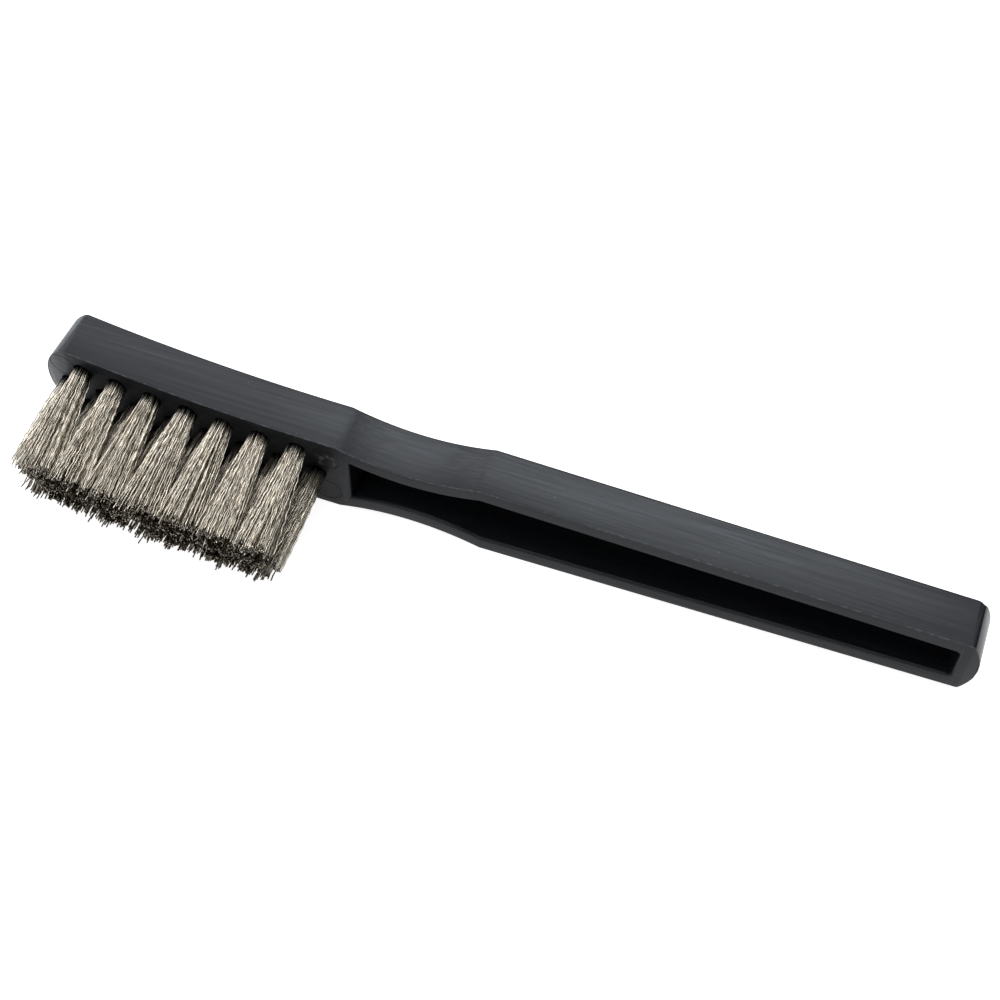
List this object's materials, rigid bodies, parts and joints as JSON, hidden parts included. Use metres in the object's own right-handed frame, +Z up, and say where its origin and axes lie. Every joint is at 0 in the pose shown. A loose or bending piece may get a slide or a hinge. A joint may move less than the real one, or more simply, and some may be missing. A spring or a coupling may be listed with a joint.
{
  "type": "spark plug cleaning brush",
  "caption": "Small hand brush with a hollow tapered plastic grip and rows of crimped steel wire tufts, for cleaning spark plugs.",
  "frame": {"origin": "middle of the brush's footprint, on the surface that its side face lies on", "axes": "+X from the bristle head to the end of the grip, +Y from the bristles to the flat back, +Z up across the width"},
  "size_m": [0.15, 0.0303, 0.0164],
  "materials": {
    "black_plastic": "matt black moulded plastic with fine lengthwise streaks and a faint sheen",
    "steel_wire": "bright crimped steel wire with a warm tint",
    "flat_wire": "plain drawn flat wire"
  },
  "bodies": {
    "root": {"handle": "black_plastic", "tuft_low_1": "steel_wire", "tuft_low_2": "steel_wire", "tuft_low_3": "steel_wire", "tuft_low_4": "steel_wire", "tuft_low_5": "steel_wire", "tuft_low_6": "steel_wire", "tuft_low_7": "steel_wire", "tuft_mid_1": "steel_wire", "tuft_mid_2": "steel_wire", "tuft_mid_3": "steel_wire", "tuft_mid_4": "steel_wire", "tuft_mid_5": "steel_wire", "tuft_mid_6": "steel_wire", "tuft_mid_7": "steel_wire", "tuft_mid_8": "steel_wire", "tuft_top_1": "steel_wire", "tuft_top_2": "steel_wire", "tuft_top_3": "steel_wire", "tuft_top_4": "steel_wire", "tuft_top_5": "steel_wire", "tuft_top_6": "steel_wire", "tuft_top_7": "steel_wire", "anchor_low_1": "flat_wire", "anchor_low_2": "flat_wire", "anchor_low_3": "flat_wire", "anchor_low_4": "flat_wire", "anchor_low_5": "flat_wire", "anchor_low_6": "flat_wire", "anchor_low_7": "flat_wire", "anchor_mid_1": "flat_wire", "anchor_mid_2": "flat_wire", "anchor_mid_3": "flat_wire", "anchor_mid_4": "flat_wire", "anchor_mid_5": "flat_wire", "anchor_mid_6": "flat_wire", "anchor_mid_7": "flat_wire", "anchor_mid_8": "flat_wire", "anchor_top_1": "flat_wire", "anchor_top_2": "flat_wire", "anchor_top_3": "flat_wire", "anchor_top_4": "flat_wire", "anchor_top_5": "flat_wire", "anchor_top_6": "flat_wire", "anchor_top_7": "flat_wire"}
  },
  "joints": []
}
